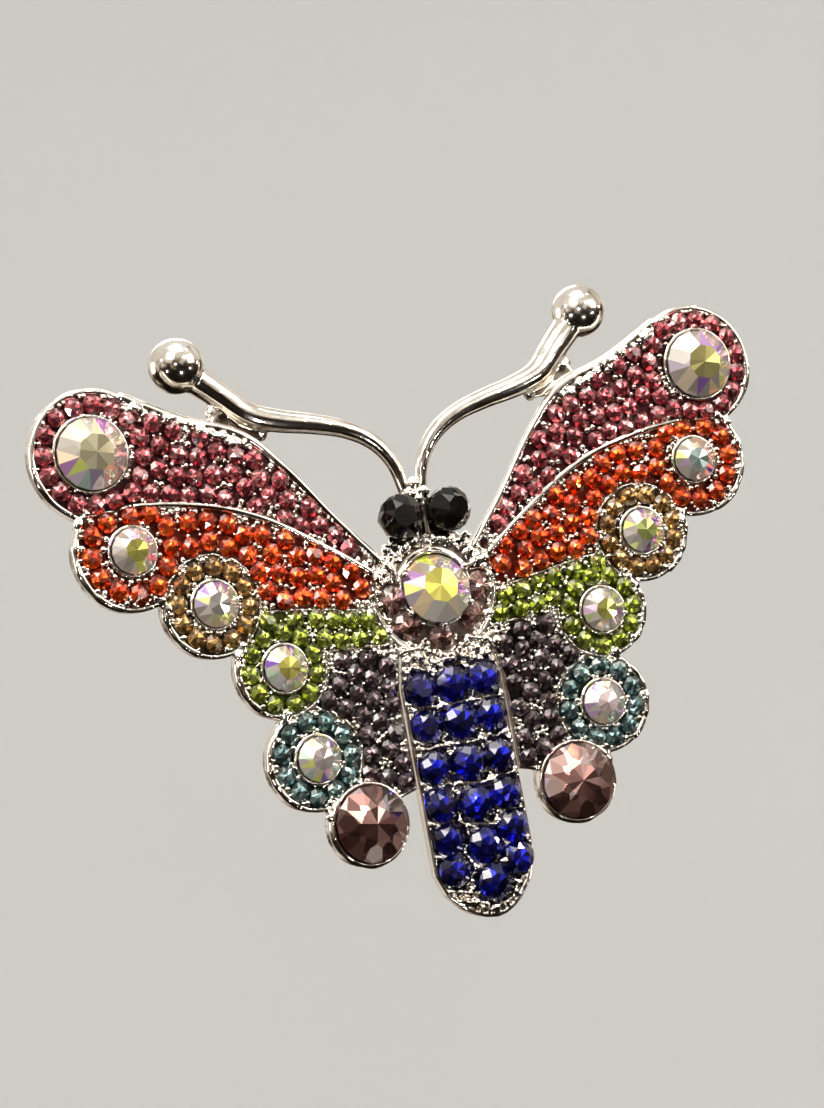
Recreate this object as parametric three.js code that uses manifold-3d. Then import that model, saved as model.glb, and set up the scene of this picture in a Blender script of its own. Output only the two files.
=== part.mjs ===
// Butterfly brooch: a cast silver-tone frame set with crystals and small glued stones,
// with a bar pin, a hinged pin stem and a turning safety lock on its back. Millimetres.
//
// The pieces are drawn lying on a bench, face up: x to the viewer's right, y towards the
// head, z towards the viewer. The last group stands the brooch up as it is worn: +Z up,
// the face towards -Y, and the origin on the pin stem, half way along it.
import * as THREE from "three";
import { mergeVertices } from "three/addons/utils/BufferGeometryUtils.js";
import Module from "manifold-3d";

const wasm = await Module();
wasm.setup();

// ---------- driving dimensions ----------
const WING_RISE = THREE.MathUtils.degToRad(3.4); // each wing tips forward from the body
const PLATE = 0.9; // floor of every tray
const WALL_TOP = 1.8; // top of the wing's rim and veins
const BODY_TOP = 2.1; // top of the thorax and abdomen walls
const RIM = 0.35; // rim and wall thickness
const VEIN = 0.28; // thickness of the walls between two colours
const FIT = 0.05; // clearance between a stone or bed and its seat
const BED_TOP = 1.7; // top of the glued beds that hold the small stones
const CUP_WALL = 0.22;
const CUP_TOP = 2.15;
const CUT = 20; // reach of a cutting tool past the part

// Lobes of the right wing, tip first. A lobe's big stone sits at its centre unless it says so.
const LOBES = {
  fuchsia: { x: 24.45, y: 13.4, r: 4.8, stone: { x: 24.8, y: 13.55, r: 2.6, table: 3.45 } },
  orange: { x: 23.0, y: 6.3, r: 4.35, stone: { r: 1.65, table: 3.0 } },
  topaz: { x: 17.6, y: 1.6, r: 3.9, stone: { r: 1.65, table: 3.0 } },
  peridot: { x: 13.15, y: -3.8, r: 3.7, stone: { r: 1.65, table: 3.0 } },
  teal: { x: 11.85, y: -10.7, r: 3.85, stone: { r: 1.65, table: 3.0 } },
  drop: { x: 8.65, y: -16.1, r: 3.15, stone: { r: 2.85, table: 3.2 } },
};
const GIRDLE = 2.25; // height of a wing stone's widest line

const THORAX = { r: 4.75, stoneR: 2.65, girdle: 2.55, table: 3.6 };
const ABDOMEN = { halfWidth: 4.12, top: -4, straight: -20.9, recess: 0.15, recessTop: -5.4 };
const SAPPHIRE = { girdle: 2.4, table: 3.0, centreR: 1.3, sideR: 1.1 };
// The middle row is set by hand and wanders a little to one side.
const CENTRE_ROW = [[0, -7.2], [0.1, -10.0], [0.2, -13.2], [0.2, -16.3], [0.2, -19.4], [0.45, -22.2]];
const SIDE_ROW = { x: 2.62, rows: [-7.2, -9.9, -13.05, -15.9, -18.4, -20.75] };
const EYE = { x: 2.0, y: 5.65, r: 1.7, seatR: 1.3, girdle: 3.2, table: 4.4 };
const HEAD_TOP = 7.4;
const HEAD_HEIGHT = 1.6;
const BROW = { halfWidth: 0.22, top: 2.9 };

const ANTENNA = { rootR: 0.46, endR: 1.2, ballR: 2.05, sides: 10, steps: 28 };

const PIN_Y = 0.8; // the pin crosses behind the thorax, hidden by the wings
const PIN_Z = -2.9; // the pin stands off the back by this much
const BAR = { halfLength: 14.5, halfWidth: 1.8, thick: 0.6 };
const BASE = { halfLength: 1.5, halfWidth: 1.5, thick: 0.35 }; // soldered feet of bracket and catch
const HINGE = { x: -12.5, earR: 1.1, earInner: 0.85, earOuter: 1.3, holeR: 0.5 };
const RIVET = { r: 0.42, headR: 0.75, headThick: 0.3 };
const STEM = { r: 0.4, tip: 14.3, point: 2.2, knuckleR: 1.0, knuckleHalf: 0.75 };
const POST_HALF = 1.0; // half width of the post under the catch ring
const CATCH = { x: 11.8, half: 0.6, outerR: 1.75, innerR: 1.1, slotHalf: 0.62 };
const SLEEVE = { r: 1.0, flangeR: 1.5, half: 1.25, flange: 0.55, boreR: 0.52, slotHalf: 0.52 };
const TAB = { reach: 3.0, thick: 0.5, lean: THREE.MathUtils.degToRad(70) };

// ---------- solids ----------
function solid(geometry) {
  const plain = geometry.clone();
  plain.deleteAttribute("normal");
  plain.deleteAttribute("uv");
  const merged = mergeVertices(plain, 1e-4);
  const mesh = new wasm.Mesh({
    numProp: 3,
    vertProperties: new Float32Array(merged.attributes.position.array),
    triVerts: new Uint32Array(merged.index.array),
  });
  return new wasm.Manifold(mesh);
}

function geometryOf(made) {
  const mesh = made.getMesh();
  const geometry = new THREE.BufferGeometry();
  geometry.setAttribute("position", new THREE.BufferAttribute(mesh.vertProperties, 3));
  geometry.setIndex(new THREE.BufferAttribute(mesh.triVerts, 1));
  return geometry;
}

// A wall of straight sides over an outline, from one height to another.
function prism(points, low, high) {
  const geometry = new THREE.ExtrudeGeometry(new THREE.Shape(points), {
    depth: high - low,
    bevelEnabled: false,
  });
  return solid(geometry.translate(0, 0, low));
}

function disc(x, y, r, low, high, sides = 24) {
  const geometry = new THREE.CylinderGeometry(r, r, high - low, sides);
  geometry.rotateX(Math.PI / 2).translate(x, y, (low + high) / 2);
  return solid(geometry);
}

function block(x0, x1, y0, y1, z0, z1) {
  const geometry = new THREE.BoxGeometry(x1 - x0, y1 - y0, z1 - z0);
  return solid(geometry.translate((x0 + x1) / 2, (y0 + y1) / 2, (z0 + z1) / 2));
}

// An outline pushed outwards by a distance, or inwards by a negative one.
// The points run anticlockwise.
function offset(points, distance) {
  return points.map((here, i) => {
    const before = points[(i + points.length - 1) % points.length];
    const after = points[(i + 1) % points.length];
    const a = here.clone().sub(before).normalize();
    const b = after.clone().sub(here).normalize();
    const normal = new THREE.Vector2(a.y + b.y, -a.x - b.x).normalize();
    const stretch = Math.max(0.4, normal.x * a.y - normal.y * a.x);
    return here.clone().addScaledVector(normal, distance / stretch);
  });
}

const points = (...pairs) => pairs.map(([x, y]) => new THREE.Vector2(x, y));
const spline = (count, ...pairs) => new THREE.SplineCurve(points(...pairs)).getPoints(count);

// ---------- body ----------
const ABDOMEN_OUTLINE = [
  ...points([-3.5, ABDOMEN.top], [-ABDOMEN.halfWidth, -7], [-ABDOMEN.halfWidth, ABDOMEN.straight]),
  ...spline(10, [-3.45, -22.5], [-1.8, -24.1], [0.3, -24.8], [2.1, -24.1], [3.5, -22.5]),
  ...points([ABDOMEN.halfWidth, ABDOMEN.straight], [ABDOMEN.halfWidth, -7], [3.5, ABDOMEN.top]),
];
const HEAD_OUTLINE = points(
  [-3.3, 2.6],
  [3.3, 2.6],
  [2.5, 5.0],
  [1.15, 6.6],
  [1.0, HEAD_TOP],
  [-1.0, HEAD_TOP],
  [-1.15, 6.6],
  [-2.5, 5.0],
);

function bodyOutline(grow, low, high) {
  let made = disc(0, 0, THORAX.r + grow, low, high, 32);
  made = made.add(prism(offset(ABDOMEN_OUTLINE, grow), low, high));
  return made;
}

function headOutline(grow, low, high) {
  let made = prism(offset(HEAD_OUTLINE, grow), low, high);
  for (const side of [-1, 1])
    made = made.add(disc(side * EYE.x, EYE.y, EYE.seatR + grow, low, high, 20));
  return made;
}

// The casting: thorax and abdomen trays with their walls, the head and the brow ridge.
function bodyCasting() {
  const cup = THORAX.stoneR + FIT;
  let made = bodyOutline(0, 0, BODY_TOP).add(headOutline(0, 0, HEAD_HEIGHT));
  made = made.add(block(-BROW.halfWidth, BROW.halfWidth, 4.0, HEAD_TOP, PLATE, BROW.top));
  made = made.subtract(block(-CUT, CUT, -CUT - CUT, ABDOMEN.recessTop, -1, ABDOMEN.recess));
  made = made.subtract(thoraxBed(0, CUT));
  made = made.subtract(abdomenPocket(0));
  for (const side of [-1, 1])
    made = made.subtract(disc(side * EYE.x, EYE.y, EYE.r + FIT, HEAD_HEIGHT, CUT, 24));
  made = made.add(disc(0, 0, cup + CUP_WALL, PLATE, THORAX.girdle - 0.1, 32));
  return made.subtract(disc(0, 0, cup, PLATE, CUT, 32));
}

function abdomenPocket(grow) {
  const inside = prism(offset(ABDOMEN_OUTLINE, grow - RIM), PLATE, CUT);
  return inside.intersect(block(-CUT, CUT, -2 * CUT, ABDOMEN.recessTop + 0.2 + grow, 0, CUT));
}

// The half ring under the big thorax stone that holds the mauve stones.
function thoraxBed(grow, top) {
  const outer = disc(0, 0, THORAX.r - RIM + grow, PLATE - grow, top, 32);
  const inner = disc(0, 0, THORAX.stoneR + FIT + CUP_WALL - grow, -CUT, CUT, 32);
  return outer.subtract(inner).intersect(block(-CUT, CUT, -CUT, 0.9 + grow, -CUT, CUT));
}

// A cut stone on a flat seat: steep sides under the girdle, a sloping crown, a flat table.
function cutStone(x, y, r, seat, girdle, table, sides) {
  const edge = 0.1;
  const profile = points(
    [0, seat],
    [0.78 * r, seat],
    [r, girdle - edge],
    [r, girdle + edge],
    [0.86 * r, girdle + 0.42 * (table - girdle)],
    [0.55 * r, table],
    [0, table],
  );
  const geometry = new THREE.LatheGeometry(profile, sides);
  return solid(geometry.rotateX(Math.PI / 2).translate(x, y, 0));
}

const sapphire = (x, y, r, sides) =>
  geometryOf(cutStone(x, y, r, PLATE + FIT, SAPPHIRE.girdle, SAPPHIRE.table, sides));

// ---------- right wing, drawn flat and then tipped forward ----------
const TOP_EDGE = spline(
  12,
  ...[[21.9, 17.4], [17.6, 15.1], [13.1, 13.35], [10.3, 10.7], [7.0, 6.4], [3.3, 1.9]],
);
const VEIN_1 = spline(
  12,
  ...[[30, 8.3], [26.6, 9.0], [22.4, 9.5], [18.7, 9.05], [13.7, 7.65], [8.3, 4.45], [2, 0.3]],
);
const VEIN_2 = spline(6, [15.7, 0.5], [12.7, 0.4], [8.8, -0.15], [2, -1.4]);
const VEIN_3 = spline(4, [11.2, -3.0], [8, -3.25], [2, -3.5]);
const WING_FIELD = [
  ...TOP_EDGE,
  ...points([2, 1], [2, -13.7], [6.3, -14.9]),
  ...["teal", "peridot", "topaz", "orange", "fuchsia"].map(
    (name) => new THREE.Vector2(LOBES[name].x, LOBES[name].y),
  ),
];
const ABOVE_VEIN_1 = [...VEIN_1.toReversed(), ...points([30, 25], [2, 25])];
const ORANGE_BAND = [...VEIN_1, ...VEIN_2.toReversed(), ...points([19, -3], [30, -3])];
const PERIDOT_BAND = [...VEIN_2, ...VEIN_3.toReversed()];
const SMOKY_BAND = [...VEIN_3, ...points([2, -14.5], [9, -14.5], [12, -11], [12.5, -6])];

const LOBE_SIDES = 36;
const CUP_SIDES = 28;

const lobe = (name, grow, low = PLATE, high = CUT) =>
  disc(LOBES[name].x, LOBES[name].y, LOBES[name].r + grow, low, high, LOBE_SIDES);

function cup(name, grow, low = 0, high = CUT) {
  const { x, y, stone } = LOBES[name];
  return disc(stone.x ?? x, stone.y ?? y, stone.r + FIT + grow, low, high, CUP_SIDES);
}

function wingOutline(grow, low, high) {
  let made = prism(offset(WING_FIELD, grow), low, high);
  for (const name of Object.keys(LOBES)) made = made.add(lobe(name, grow, low, high));
  return made;
}

// The body's outline as a tool in the wing's own tipped frame.
const bodyTool = (grow) =>
  solid(geometryOf(bodyOutline(grow, -CUT, CUT)).rotateY(WING_RISE)).add(
    solid(geometryOf(headOutline(grow, -CUT, CUT)).rotateY(WING_RISE)),
  );

// The pocket of each colour. A positive grow gives a larger pocket.
function wingPocket(name, grow) {
  const field = (outline) => {
    const band = prism(offset(outline, grow - VEIN / 2), PLATE, CUT);
    return wingOutline(grow - RIM, PLATE, CUT).intersect(band);
  };
  const shapes = {
    fuchsia: () => field(ABOVE_VEIN_1),
    orange: () => field(ORANGE_BAND).subtract(lobe("topaz", -0.1 - grow, 0)),
    topaz: () => lobe("topaz", grow - RIM),
    peridot: () =>
      field(PERIDOT_BAND)
        .add(lobe("peridot", grow - RIM))
        .subtract(lobe("topaz", -0.1 - grow, 0)),
    teal: () =>
      lobe("teal", grow - RIM)
        .subtract(lobe("peridot", -0.05 - grow, 0))
        .subtract(cup("drop", CUP_WALL - grow)),
    smoky: () =>
      field(SMOKY_BAND)
        .subtract(lobe("peridot", -grow, 0))
        .subtract(lobe("teal", -grow, 0))
        .subtract(cup("drop", CUP_WALL - grow)),
  };
  let made = shapes[name]();
  if (LOBES[name]) made = made.subtract(cup(name, CUP_WALL - grow));
  return made.subtract(bodyTool(FIT + RIM - grow));
}

const COLOURS = ["fuchsia", "orange", "topaz", "peridot", "teal", "smoky"];

function wingCasting() {
  let made = wingOutline(0, 0, WALL_TOP);
  for (const name of COLOURS) made = made.subtract(wingPocket(name, 0));
  for (const name of Object.keys(LOBES)) {
    made = made.add(cup(name, CUP_WALL, PLATE, CUP_TOP));
    made = made.subtract(cup(name, 0, PLATE));
  }
  return made.subtract(bodyTool(FIT + 0.02));
}

function paveBed(name) {
  const slab = block(-2 * CUT, 2 * CUT, -2 * CUT, 2 * CUT, PLATE + FIT, BED_TOP);
  return wingPocket(name, -FIT).intersect(slab);
}

function wingStone(name) {
  const { x, y, stone } = LOBES[name];
  const sides = stone.r > 2 ? 16 : 12;
  return cutStone(stone.x ?? x, stone.y ?? y, stone.r, PLATE + FIT, GIRDLE, stone.table, sides);
}

const tipped = (made) => geometryOf(made).rotateY(-WING_RISE);

// ---------- right antenna ----------
// A round feeler that rises from the head, bends over the wing, thickens as it goes and
// ends in a ball. A short web joins it to the wing's upper edge.
const FEELER = new THREE.CatmullRomCurve3(
  [
    [0.66, HEAD_TOP + FIT, 1.4],
    [1.2, 9.7, 1.5],
    [2.5, 11.5, 1.6],
    [4.4, 12.7, 1.65],
    [7.0, 13.5, 1.7],
    [9.7, 14.1, 1.7],
    [11.9, 14.9, 1.6],
    [13.5, 16.4, 1.4],
    [15.0, 17.8, 1.25],
    [16.45, 19.15, 1.2],
  ].map((p) => new THREE.Vector3(...p)),
);
const WEB = points([11.0, 13.0], [13.6, 13.0], [15.2, 14.2], [13.8, 16.2], [12.0, 15.0]);

// A straight taper along y, from 0 to 1, bent to follow a curve.
function bent(taper, curve) {
  const { normals, binormals } = curve.computeFrenetFrames(ANTENNA.steps, false);
  const place = taper.attributes.position;
  for (let i = 0; i < place.count; i++) {
    const step = Math.round(place.getY(i) * ANTENNA.steps);
    const at = curve.getPointAt(step / ANTENNA.steps);
    at.addScaledVector(binormals[step], place.getX(i));
    at.addScaledVector(normals[step], place.getZ(i));
    place.setXYZ(i, at.x, at.y, at.z);
  }
  return taper;
}

function antenna() {
  const profile = [new THREE.Vector2(0, 0)];
  for (let i = 0; i <= ANTENNA.steps; i++) {
    const along = i / ANTENNA.steps;
    const r = THREE.MathUtils.lerp(ANTENNA.rootR, ANTENNA.endR, along);
    profile.push(new THREE.Vector2(r, along));
  }
  profile.push(new THREE.Vector2(0, 1));
  const rod = bent(new THREE.LatheGeometry(profile, ANTENNA.sides), FEELER);
  const tip = FEELER.getPoint(1);
  const ball = new THREE.SphereGeometry(ANTENNA.ballR, 16, 10).translate(tip.x, tip.y, tip.z);
  const wing = solid(tipped(wingOutline(FIT + 0.02, -1, CUT)));
  const body = bodyOutline(FIT, -CUT, CUT).add(headOutline(FIT, -CUT, CUT));
  const made = solid(rod).add(solid(ball)).add(prism(WEB, PLATE, WALL_TOP));
  return geometryOf(made.subtract(wing).subtract(body));
}

// ---------- bar pin, drawn on the back ----------
// A rod of any profile along x, on the pin's own axis.
function turned(profile, sides = 16) {
  const geometry = new THREE.LatheGeometry(points(...profile), sides);
  return solid(geometry.rotateZ(-Math.PI / 2).translate(0, PIN_Y, PIN_Z));
}

// A plate standing on edge: an outline in x and z, from one y to another.
function upright(outline, y0, y1) {
  const geometry = new THREE.ExtrudeGeometry(outline, {
    depth: y1 - y0,
    bevelEnabled: false,
    curveSegments: 10,
  });
  return solid(geometry.rotateX(Math.PI / 2).translate(0, y1, 0));
}

function crossRod(x, r, y0, y1, sides = 16) {
  const geometry = new THREE.CylinderGeometry(r, r, y1 - y0, sides);
  return solid(geometry.translate(x, (y0 + y1) / 2, PIN_Z));
}

const BAR_OUTER = -FIT - BAR.thick; // the bar's face away from the brooch
const BASE_LOW = BAR_OUTER - FIT; // where the bracket and the catch sit on it
const BASE_OUTER = BASE_LOW - BASE.thick;

function pinBar() {
  const outline = new THREE.Shape();
  const straight = BAR.halfLength - BAR.halfWidth;
  outline.absarc(straight, PIN_Y, BAR.halfWidth, -Math.PI / 2, Math.PI / 2);
  outline.absarc(-straight, PIN_Y, BAR.halfWidth, Math.PI / 2, (3 * Math.PI) / 2);
  return prism(outline.getPoints(10), BAR_OUTER, -FIT);
}

function foot(x) {
  const { halfLength, halfWidth } = BASE;
  const [y0, y1] = [PIN_Y - halfWidth, PIN_Y + halfWidth];
  return block(x - halfLength, x + halfLength, y0, y1, BASE_OUTER, BASE_LOW);
}

function hingeBracket() {
  const ear = new THREE.Shape();
  ear.moveTo(HINGE.x + BASE.halfLength, BASE_LOW);
  ear.lineTo(HINGE.x - BASE.halfLength, BASE_LOW);
  ear.absarc(HINGE.x, PIN_Z, HINGE.earR, Math.PI, 2 * Math.PI);
  let made = foot(HINGE.x);
  made = made.add(upright(ear, PIN_Y + HINGE.earInner, PIN_Y + HINGE.earOuter));
  made = made.add(upright(ear, PIN_Y - HINGE.earOuter, PIN_Y - HINGE.earInner));
  return made.subtract(crossRod(HINGE.x, HINGE.holeR, -CUT, CUT));
}

function hingeRivet() {
  const shank = HINGE.earOuter + FIT;
  const head = shank + RIVET.headThick;
  return crossRod(HINGE.x, RIVET.r, PIN_Y - shank, PIN_Y + shank)
    .add(crossRod(HINGE.x, RIVET.headR, PIN_Y - head, PIN_Y - shank))
    .add(crossRod(HINGE.x, RIVET.headR, PIN_Y + shank, PIN_Y + head));
}

function pinStem() {
  const shoulder = STEM.tip - STEM.point;
  const start = HINGE.x + STEM.knuckleR * 0.7;
  const rod = turned([
    [0, start],
    [STEM.r, start],
    [STEM.r, shoulder],
    [STEM.r * 0.55, shoulder + STEM.point * 0.7],
    [0, STEM.tip],
  ]);
  const half = STEM.knuckleHalf;
  const knuckle = crossRod(HINGE.x, STEM.knuckleR, PIN_Y - half, PIN_Y + half, 20);
  return rod.add(knuckle).subtract(crossRod(HINGE.x, HINGE.holeR, -CUT, CUT));
}

const RING_SIDES = 24;

function ring(x0, x1, inner, outer) {
  const profile = [[inner, x0], [outer, x0], [outer, x1], [inner, x1], [inner, x0]];
  return turned(profile, RING_SIDES);
}

// A slot cut along x, open away from the brooch.
function slotTool(x0, x1, half) {
  return block(x0 - 1, x1 + 1, PIN_Y - half, PIN_Y + half, PIN_Z - CUT, PIN_Z);
}

function catchHousing() {
  const x0 = CATCH.x - CATCH.half;
  const x1 = CATCH.x + CATCH.half;
  const r = CATCH.innerR;
  const post = block(x0, x1, PIN_Y - POST_HALF, PIN_Y + POST_HALF, PIN_Z + r + 0.1, BASE_LOW);
  const bore = turned([[0, x0 - 1], [r, x0 - 1], [r, x1 + 1], [0, x1 + 1]], RING_SIDES);
  return ring(x0, x1, r, CATCH.outerR)
    .add(post)
    .subtract(bore)
    .subtract(slotTool(x0, x1, CATCH.slotHalf))
    .add(foot(CATCH.x));
}

function lockSleeve() {
  const x0 = CATCH.x - SLEEVE.half;
  const x1 = CATCH.x + SLEEVE.half;
  const tab = new THREE.BoxGeometry(SLEEVE.flange, TAB.thick, TAB.reach - SLEEVE.r * 0.8);
  tab.translate(0, 0, -(TAB.reach + SLEEVE.r * 0.8) / 2).rotateX(TAB.lean);
  tab.translate(x1 - SLEEVE.flange / 2, PIN_Y, PIN_Z);
  return ring(x0, x1, SLEEVE.boreR, SLEEVE.r)
    .add(ring(x0, x0 + SLEEVE.flange, SLEEVE.boreR, SLEEVE.flangeR))
    .add(ring(x1 - SLEEVE.flange, x1, SLEEVE.boreR, SLEEVE.flangeR))
    .add(solid(tab))
    .subtract(slotTool(x0, x1, SLEEVE.slotHalf));
}

// ---------- finishes ----------
const METAL = { color: 0xc9c4bc, roughness: 0.18, metalness: 1 };
const STEEL = { color: 0xb8bcc0, roughness: 0.3, metalness: 1 };
const glass = (color) => ({ color, roughness: 0.08, metalness: 0, flatShading: true });
const FINISH = {
  crystal: glass(0xd9d2c9),
  fuchsia: glass(0x7a1d35),
  orange: glass(0xc8280f),
  topaz: glass(0x8a6232),
  peridot: glass(0x7d8f1e),
  teal: glass(0x4f7f80),
  smoky: glass(0x3a3031),
  mauve: glass(0xa98587),
  sapphire: glass(0x0a15b8),
  jet: glass(0x08080a),
};

// ---------- assembly ----------
const bench = new THREE.Group();

function place(name, geometry, finish) {
  const mesh = new THREE.Mesh(geometry, new THREE.MeshStandardMaterial(finish));
  mesh.name = name;
  bench.add(mesh);
}

function mirrored(geometry) {
  const made = geometry.clone().scale(-1, 1, 1);
  const index = made.index.array;
  for (let i = 0; i < index.length; i += 3)
    [index[i + 1], index[i + 2]] = [index[i + 2], index[i + 1]];
  return made;
}

function placePair(name, geometry, finish) {
  place(name + "_right", geometry, finish);
  place(name + "_left", mirrored(geometry), finish);
}

place("body_casting", geometryOf(bodyCasting()), METAL);
placePair("wing_casting", tipped(wingCasting()), METAL);
placePair("antenna", antenna(), METAL);

for (const name of COLOURS) placePair(name + "_pave", tipped(paveBed(name)), FINISH[name]);
for (const name of ["fuchsia", "orange", "topaz", "peridot", "teal"])
  placePair(name + "_lobe_crystal", tipped(wingStone(name)), FINISH.crystal);
placePair("tail_drop_stone", tipped(wingStone("drop")), FINISH.mauve);

const thoraxStone = cutStone(0, 0, THORAX.stoneR, PLATE + FIT, THORAX.girdle, THORAX.table, 16);
place("thorax_crystal", geometryOf(thoraxStone), FINISH.crystal);
place("thorax_mauve_stones", geometryOf(thoraxBed(-FIT, BODY_TOP - 0.1)), FINISH.mauve);
const eye = cutStone(EYE.x, EYE.y, EYE.r, HEAD_HEIGHT + FIT, EYE.girdle, EYE.table, 12);
placePair("eye_stone", geometryOf(eye), FINISH.jet);
CENTRE_ROW.forEach(([x, y], i) => {
  place("centre_sapphire_" + (i + 1), sapphire(x, y, SAPPHIRE.centreR, 12), FINISH.sapphire);
});
SIDE_ROW.rows.forEach((y, i) => {
  const stone = sapphire(SIDE_ROW.x, y, SAPPHIRE.sideR, 10);
  placePair("side_sapphire_" + (i + 1), stone, FINISH.sapphire);
});

place("pin_bar", geometryOf(pinBar()), STEEL);
place("hinge_bracket", geometryOf(hingeBracket()), STEEL);
place("hinge_rivet", geometryOf(hingeRivet()), STEEL);
place("pin_stem", geometryOf(pinStem()), STEEL);
place("catch_housing", geometryOf(catchHousing()), STEEL);
place("lock_sleeve", geometryOf(lockSleeve()), STEEL);

// Stand the brooch up, with the middle of the pin stem at the origin.
bench.rotation.x = Math.PI / 2;
bench.position.set(0, PIN_Z, -PIN_Y);
const group = new THREE.Group();
group.add(bench);

export default group;
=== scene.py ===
"""Butterfly brooch, finished as it is worn: a plated casting set with cut crystals and pave
stones, with a bar pin on the back. Every piece is drawn on the bench in millimetres, face
up, and then stood up in the frame's own place in metres."""

import math

import bpy
import numpy as np
from mathutils import Matrix, Vector
from mathutils.kdtree import KDTree


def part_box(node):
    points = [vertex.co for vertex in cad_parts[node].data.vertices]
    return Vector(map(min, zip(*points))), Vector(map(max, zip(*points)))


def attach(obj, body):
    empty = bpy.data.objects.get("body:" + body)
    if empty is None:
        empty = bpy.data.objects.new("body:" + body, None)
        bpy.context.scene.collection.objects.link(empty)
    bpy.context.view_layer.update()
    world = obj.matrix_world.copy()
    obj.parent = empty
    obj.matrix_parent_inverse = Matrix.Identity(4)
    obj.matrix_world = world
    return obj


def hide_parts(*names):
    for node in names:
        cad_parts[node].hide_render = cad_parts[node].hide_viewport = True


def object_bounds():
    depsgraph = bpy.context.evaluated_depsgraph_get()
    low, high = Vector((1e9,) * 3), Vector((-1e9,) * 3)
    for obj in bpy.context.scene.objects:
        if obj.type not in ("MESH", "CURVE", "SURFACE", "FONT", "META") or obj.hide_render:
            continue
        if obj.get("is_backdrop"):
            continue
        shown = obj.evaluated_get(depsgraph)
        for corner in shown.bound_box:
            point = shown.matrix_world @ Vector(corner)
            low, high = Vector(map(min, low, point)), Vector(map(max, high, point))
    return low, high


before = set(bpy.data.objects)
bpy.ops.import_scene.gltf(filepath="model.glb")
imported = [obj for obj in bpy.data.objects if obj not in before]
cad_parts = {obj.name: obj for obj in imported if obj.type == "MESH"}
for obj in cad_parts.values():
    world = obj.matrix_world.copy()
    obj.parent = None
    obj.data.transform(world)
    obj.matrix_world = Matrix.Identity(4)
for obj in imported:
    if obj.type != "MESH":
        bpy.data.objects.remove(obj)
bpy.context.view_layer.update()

# ---- Camera ----
# The camera stands to the viewer's left of the brooch, a little below it and rolled, and
# looks at the girdle of the big thorax crystal.
MM = 0.001
GIRDLE_BEHIND_TABLE = 0.8 * MM
CAMERA_DISTANCE = 207.3 * MM
CAMERA_LENS = 90.9
CAMERA_SHIFT = (-0.0235, 0.0307)

crystal_low, crystal_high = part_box("thorax_crystal")
crystal_centre = (crystal_low + crystal_high) / 2
aim = Vector((crystal_centre.x, crystal_low.y + GIRDLE_BEHIND_TABLE, crystal_centre.z))
turn = (
    Matrix.Rotation(math.radians(-23.3), 4, "Z")
    @ Matrix.Rotation(math.radians(91.0), 4, "X")
    @ Matrix.Rotation(math.radians(-10.5), 4, "Z")
)
bpy.ops.object.camera_add()
camera = bpy.context.object
camera.matrix_world = (
    Matrix.Translation(aim) @ turn @ Matrix.Translation((0, 0, CAMERA_DISTANCE))
)
camera.data.lens = CAMERA_LENS
camera.data.shift_x, camera.data.shift_y = CAMERA_SHIFT
camera.data.clip_start = 0.01
bpy.context.scene.camera = camera


# ---- Studio: room, sweep and lamps ----
# A pale round floor that curves up into a wall, seen but not mirrored, so that the plating
# mirrors a darker warm room with a few large and many small lamps.
class Signal:
    """One output of a material's nodes. Sums on it add Math nodes."""

    def __init__(self, tree, socket=None):
        self.tree = tree
        self.socket = socket

    def node(self, kind, settings=None, inputs=None, output=0):
        made = self.tree.nodes.new(kind)
        for name, value in (settings or {}).items():
            if name == "stops":
                self.set_stops(made.color_ramp, value)
            else:
                setattr(made, name, value)
        for name, value in (inputs or {}).items():
            self.feed(made.inputs[name], value)
        return Signal(self.tree, made.outputs[output])

    def feed(self, socket, value):
        if isinstance(value, Signal):
            self.tree.links.new(value.socket, socket)
        else:
            socket.default_value = value

    @staticmethod
    def set_stops(ramp, stops):
        ramp.interpolation = "LINEAR"
        while len(ramp.elements) < len(stops):
            ramp.elements.new(0.5)
        for element, (position, colour) in zip(ramp.elements, stops):
            element.position = position
            element.color = (*colour, 1.0)

    def maths(self, operation, *values):
        inputs = dict(enumerate(values))
        return self.node("ShaderNodeMath", {"operation": operation}, inputs)

    def __add__(self, other):
        return self.maths("ADD", self, other)

    __radd__ = __add__

    def __sub__(self, other):
        return self.maths("SUBTRACT", self, other)

    def __rsub__(self, other):
        return self.maths("SUBTRACT", other, self)

    def __mul__(self, other):
        return self.maths("MULTIPLY", self, other)

    __rmul__ = __mul__

    def __truediv__(self, other):
        return self.maths("DIVIDE", self, other)

    def __gt__(self, other):
        return self.maths("GREATER_THAN", self, other)

    def ramp(self, *stops):
        return self.node("ShaderNodeValToRGB", {"stops": stops}, {"Fac": self})

    def times(self, other):
        """This colour seen through another one."""
        settings = {"data_type": "RGBA", "blend_type": "MULTIPLY"}
        return self.node("ShaderNodeMix", settings, {0: 1.0, 6: self, 7: other}, 2)

    def blend(self, share, other):
        """This colour, changing to another one by a share."""
        settings = {"data_type": "RGBA"}
        return self.node("ShaderNodeMix", settings, {0: share, 6: self, 7: other}, 2)


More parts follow.
